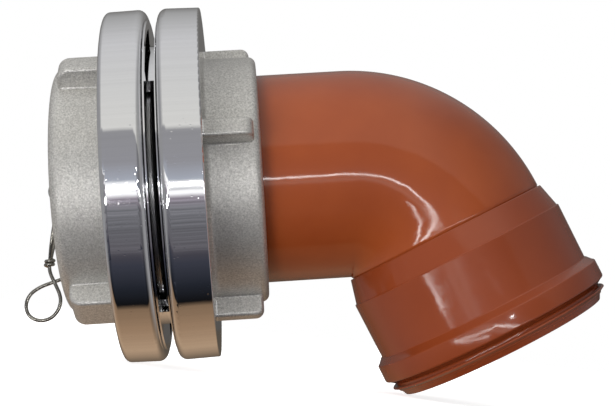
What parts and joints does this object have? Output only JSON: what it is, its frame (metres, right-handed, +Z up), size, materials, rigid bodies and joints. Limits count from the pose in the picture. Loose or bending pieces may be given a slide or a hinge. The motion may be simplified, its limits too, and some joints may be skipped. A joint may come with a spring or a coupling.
{
  "type": "pressure hose coupling with blank cap on a sewer elbow",
  "caption": "Bayonet-lug pressure coupling with a blank cap, bonded to a plastic push-fit sewer elbow, with a wire hook on the cap.",
  "frame": {"origin": "on the socket's axis, in the middle of its bore, where the sewer pipe holds the part", "axes": "+X from the cap towards the elbow's socket, +Z up as the object stands on the cap's rim and the socket's toe"},
  "size_m": [0.3033, 0.1854, 0.19],
  "materials": {
    "lug_ring_aluminium": "machined and polished rim, blast-finished cast skirt",
    "turned_aluminium": "turned",
    "black_rubber": "matt",
    "spring_steel": "oiled",
    "zinc_steel": "zinc plated",
    "hook_wire": "bright wire",
    "orange_pvc": "glossy moulded PVC",
    "retainer_plastic": "moulded"
  },
  "bodies": {
    "elbow": {"sewer_elbow": "orange_pvc", "coupling_tail": "turned_aluminium", "coupling_seal": "black_rubber", "coupling_snap_ring": "spring_steel", "socket_seal": "black_rubber", "socket_seal_retainer": "retainer_plastic"},
    "coupling_ring": {"coupling_lug_ring": "lug_ring_aluminium"},
    "cap": {"cap_lid": "turned_aluminium", "cap_seal": "black_rubber", "cap_snap_ring": "spring_steel", "cap_eye_washer": "zinc_steel"},
    "cap_ring": {"cap_lug_ring": "lug_ring_aluminium"},
    "cap_eye": {"cap_eye_bolt": "zinc_steel", "cap_eye_nut": "zinc_steel"},
    "chain_hook": {"cap_chain_hook": "hook_wire"}
  },
  "joints": [
    {"name": "coupling_swivel", "type": "hinge", "parent": "elbow", "child": "coupling_ring", "pos_m": [-0.16648, 0, 0.02965], "axis": [-0.9829, 0, -0.1841], "continuous": true},
    {"name": "cap_pull_off", "type": "slide", "parent": "coupling_ring", "child": "cap", "axis": [-0.9829, 0, -0.1841], "range_m": [0, 0.045]},
    {"name": "cap_ring_turn", "type": "hinge", "parent": "cap", "child": "cap_ring", "pos_m": [-0.16648, 0, 0.02965], "axis": [-0.9829, 0, -0.1841], "range_deg": [0, 90]},
    {"name": "eye_swivel", "type": "hinge", "parent": "cap", "child": "cap_eye", "pos_m": [-0.22054, 0, 0.01953], "axis": [-0.9829, 0, -0.1841], "continuous": true},
    {"name": "hook_swing", "type": "hinge", "parent": "cap_eye", "child": "chain_hook", "pos_m": [-0.22054, 0, 0.01723], "axis": [0, 1, 0], "range_deg": [-4, 80]}
  ]
}
